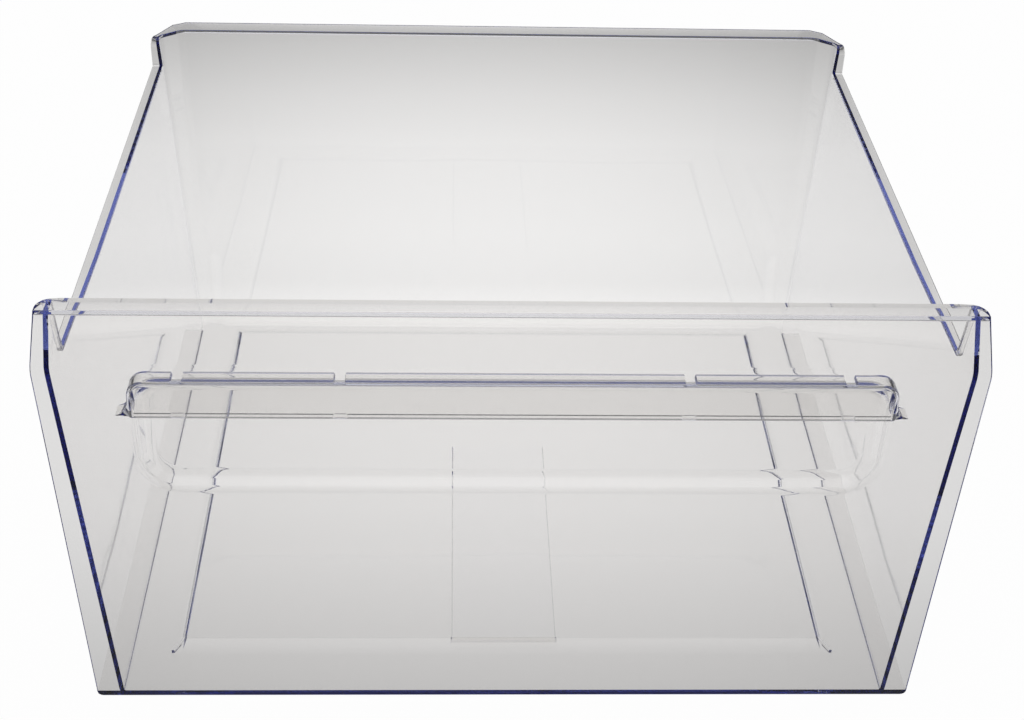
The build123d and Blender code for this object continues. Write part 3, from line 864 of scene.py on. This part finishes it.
class DRAWER_OT_pull(bpy.types.Operator):
    """Pull over the pocket: slotted ledge, hanging lip with small tabs, and flared ends"""

    bl_idname = "drawer.pull"
    bl_label = "Pull"

    def execute(self, context):
        s = sizes()
        half = LIP_HIGH.x - PULL_END
        foot = LIP_LOW.z
        y_root = Y_BEND + PULL_ROOT
        pull = new_block("pull_sheet", (-half, Y_LIP, foot), (half, y_root, BEND))
        edit(pull)
        pick(pull, edges=lambda a, b, e: abs(a.y - b.y) > NEARBY and a.z > BEND - NEAR)
        round_off(s.pull_corner, 8)
        pick(pull, faces=lambda c, n: n.y > ALONG or n.z < -ALONG)
        bpy.ops.mesh.delete(type="FACE")
        for height, _ in PULL_TAIL[:-1]:
            score((0, 0, foot + height * MM), (0, 0, 1))
        pick(
            pull,
            edges=lambda a, b, e: len(e.link_faces) == 2
            and max(abs(a.y - Y_LIP), abs(b.y - Y_LIP)) < NEAR
            and e.calc_face_angle(0) > LIP_ANGLE,
        )
        round_off(s.pull_round, 5)
        turn_out(pull, (0, -1, 0))
        leave()
        thicken(pull, s.pull_wall)
        # both ends sweep out to a small solid tail at the foot
        edit(pull)
        for height, out in PULL_TAIL:
            for side in (-1, 1):
                pick(
                    pull,
                    verts=lambda v: abs(v.z - foot - height * MM) < NEAR and v.x * side > half - 0.1 * MM,
                )
                bpy.ops.transform.translate(value=(side * out * MM, 0, 0))
        leave()
        soften(pull)
        for x in (-s.slot_outer, -s.slot_inner, s.slot_inner, s.slot_outer):
            slot = new_block(
                "slot_cutter",
                (x - SLOT_FOOT, Y_LIP + s.pull_wall + SLOT_FRONT, BEND - SLOT_DEPTH),
                (x + SLOT_FOOT, Y_BEND + SLOT_REAR, BEND + MM),
            )
            edit(slot)
            pick(slot, faces=lambda c, n: n.z > ALONG)
            bpy.ops.transform.resize(value=(s.slot_width / (2 * SLOT_FOOT) * SLOT_TAPER, 1, 1))
            leave()
            weld(pull, slot, "DIFFERENCE")
            tab = new_block(
                "lip_tab",
                (x - TAB_HALF, Y_LIP + s.pull_wall - TAB_FRONT, foot + TAB_LOW),
                (x + TAB_HALF, Y_LIP + s.pull_wall + TAB_REAR, foot + TAB_HIGH),
            )
            weld(pull, tab)
        # the lip's foot has its full thickness between the tabs
        ends = [half - BAR_END, s.slot_outer, s.slot_inner]
        places = [-end for end in ends] + ends[::-1]
        for number, (a, b) in enumerate(zip(places, places[1:])):
            first = 0 if number == 0 else BAR_GAP
            last = 0 if number == len(places) - 2 else BAR_GAP
            foot_bar = new_block(
                "lip_foot",
                (a + first, Y_LIP + s.pull_wall - TAB_FRONT, foot + BAR_LOW),
                (b - last, Y_LIP + s.wall + BAR_REAR, foot + BAR_HIGH),
            )
            weld(pull, foot_bar)
        weld(moulding(), pull)
        return {"FINISHED"}


class DRAWER_OT_runners(bpy.types.Operator):
    """Flat runners along the foot of the side walls and the strip in the middle of the floor"""

    bl_idname = "drawer.runners"
    bl_label = "Runners and centre strip"

    def execute(self, context):
        s = sizes()
        for side in (-1, 1):
            xs = sorted((side * (s.foot_half - RUNNER_LAP), side * RUNNER_HIGH.x))
            runner = new_block(
                "runner",
                (xs[0], Y_FOOT + RUNNER_FRONT, RUNNER_SKIN),
                (xs[1], RUNNER_HIGH.y, s.wall - RUNNER_SKIN),
            )
            weld(moulding(), runner)
        field = s.wall + s.plateau_rise
        strip = new_block(
            "strip",
            (STRIP_LOW.x, STRIP_LOW.y, field - STRIP_SINK),
            (STRIP_HIGH.x, STRIP_HIGH.y, field + STRIP_RISE),
        )
        edit(strip)
        pick(strip, faces=lambda c, n: n.z > ALONG)
        narrower = 1 - STRIP_TAPER_X / (STRIP_HIGH.x - STRIP_LOW.x)
        shorter = 1 - STRIP_TAPER_Y / (STRIP_HIGH.y - STRIP_LOW.y)
        bpy.ops.transform.resize(value=(narrower, shorter, 1))
        leave()
        weld(moulding(), strip)
        # a thin ridge on each mitre at the front of the raised field
        for side in (-1, 1):
            x = side * (s.foot_half - s.plateau_margin - RIDGE_X)
            y = Y_LIP + s.plateau_front + RIDGE_Y
            ridge = new_block(
                "field_ridge",
                (x - RIDGE_HALF, y - RIDGE_RUN, s.wall - RIDGE_SINK),
                (x + RIDGE_HALF, y + RIDGE_RUN, field + RIDGE_RISE),
            )
            edit(ridge)
            pick(ridge, verts=lambda v: v.y < y)
            bpy.ops.transform.translate(value=(side * RIDGE_SLANT, 0, 0))
            pick(ridge, verts=lambda v: v.y < y and v.z > s.wall + MM)
            bpy.ops.transform.translate(value=(0, 0, -RIDGE_DROP))
            pick(ridge, verts=lambda v: v.y > y)
            bpy.ops.transform.translate(value=(-side * RIDGE_SLANT, 0, 0))
            leave()
            weld(moulding(), ridge)
        return {"FINISHED"}


class DRAWER_OT_finish(bpy.types.Operator):
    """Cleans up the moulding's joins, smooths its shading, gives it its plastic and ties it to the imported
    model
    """

    bl_idname = "drawer.finish"
    bl_label = "Edges and plastic"

    def execute(self, context):
        s = sizes()
        body = moulding()
        edit(body)
        bpy.ops.mesh.select_all(action="SELECT")
        bpy.ops.mesh.remove_doubles(threshold=EXACT)
        # flat leftovers of the joins, but not on the long flange
        pick(body, faces=lambda c, n: c.z < Z_RAIL + NEARBY or c.y < 0)
        bpy.ops.mesh.dissolve_limited(angle_limit=math.radians(0.2))
        leave()
        make_active(body)
        bpy.ops.object.shade_smooth_by_angle(angle=math.radians(35))
        finish_with(body, "WEIGHTED_NORMAL", mode="FACE_AREA_WITH_ANGLE", weight=100, keep_sharp=True)
        body.data.materials.clear()
        body.data.materials.append(clear_plastic())
        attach(body, "root")
        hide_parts(*NODES)
        return {"FINISHED"}


class DRAWER_OT_stage(bpy.types.Operator):
    """Pale floor, soft studio light and the camera"""

    bl_idname = "drawer.stage"
    bl_label = "Stage, light and camera"

    def execute(self, context):
        clear_selection()
        bpy.ops.mesh.primitive_plane_add(size=FLOOR_SIZE, location=(0, 0, -FLOOR_GAP))
        bpy.ops.object.transform_apply(location=True)
        floor = bpy.context.object
        floor.name = "studio_floor"
        floor.data.materials.append(studio_floor())
        self.light()
        self.camera(context)
        context.scene.view_settings.view_transform = "Standard"
        # light runs a long way inside clear walls
        for name in ("max_bounces", "transmission_bounces", "glossy_bounces"):
            setattr(context.scene.cycles, name, LIGHT_BOUNCES)
        return {"FINISHED"}

    def light(self):
        """A soft light overhead over a dim horizon."""
        world = bpy.context.scene.world or bpy.data.worlds.new("studio")
        bpy.context.scene.world = world
        world.use_nodes = True
        nodes, links = world.node_tree.nodes, world.node_tree.links
        place = nodes.new("ShaderNodeTexCoord")
        apart = nodes.new("ShaderNodeSeparateXYZ")
        links.new(place.outputs["Generated"], apart.inputs["Vector"])
        rise = nodes.new("ShaderNodeValToRGB")
        band = rise.color_ramp
        band.interpolation = "EASE"
        for at in SKY_STEPS:
            band.elements.new(at)
        for element, level in zip(band.elements, SKY_LEVELS):
            element.color = (level, level, level * SKY_BLUE, 1.0)
        links.new(apart.outputs["Z"], rise.inputs["Fac"])
        back = nodes["Background"]
        links.new(rise.outputs["Color"], back.inputs["Color"])
        back.inputs["Strength"].default_value = 1.0

    def camera(self, context):
        """The camera at the photograph's viewing angle."""
        place = Vector(CAMERA_PLACE) * MM
        yaw, down, roll = (math.radians(angle) for angle in CAMERA_TURN)
        ahead = Vector((math.sin(yaw) * math.cos(down), math.cos(yaw) * math.cos(down), -math.sin(down)))
        right = Vector((math.cos(yaw), -math.sin(yaw), 0))
        up = right.cross(ahead)
        tilted_right = math.cos(roll) * right + math.sin(roll) * up
        tilted_up = math.cos(roll) * up - math.sin(roll) * right
        bpy.ops.object.camera_add(location=place)
        camera = bpy.context.object
        turn = Matrix((tilted_right, tilted_up, -ahead)).transposed()
        camera.matrix_world = Matrix.Translation(place) @ turn.to_4x4()
        camera.data.sensor_width = SENSOR
        camera.data.lens = SENSOR * FOCAL_PIXELS / IMAGE_WIDTH
        camera.data.shift_x = (IMAGE_WIDTH / 2 - CENTRE_X) / IMAGE_WIDTH
        camera.data.shift_y = (CENTRE_Y - IMAGE_HEIGHT / 2) / IMAGE_WIDTH
        camera.data.clip_start = 0.01
        camera.data.clip_end = 50.0
        context.scene.camera = camera


class DRAWER_PT_panel(bpy.types.Panel):
    """Lists the drawer's operators"""

    bl_label = "Drawer"
    bl_space_type = "VIEW_3D"
    bl_region_type = "UI"
    bl_category = "Drawer"

    def draw(self, context):
        for operator in OPERATORS:
            self.layout.operator(operator.bl_idname)


OPERATORS = (
    DRAWER_OT_tub,
    DRAWER_OT_front,
    DRAWER_OT_pull,
    DRAWER_OT_runners,
    DRAWER_OT_finish,
    DRAWER_OT_stage,
)
GROUPS = (DrawerSizes, DrawerColours)


def register():
    for cls in GROUPS + OPERATORS + (DRAWER_PT_panel,):
        bpy.utils.register_class(cls)
    bpy.types.Scene.drawer_sizes = bpy.props.PointerProperty(type=DrawerSizes)
    bpy.types.Scene.drawer_colours = bpy.props.PointerProperty(type=DrawerColours)


def unregister():
    del bpy.types.Scene.drawer_colours
    del bpy.types.Scene.drawer_sizes
    for cls in reversed(GROUPS + OPERATORS + (DRAWER_PT_panel,)):
        bpy.utils.unregister_class(cls)


def main():
    register()
    for operator in OPERATORS:
        group, name = operator.bl_idname.split(".")
        getattr(getattr(bpy.ops, group), name)()


if __name__ == "__main__":
    main()
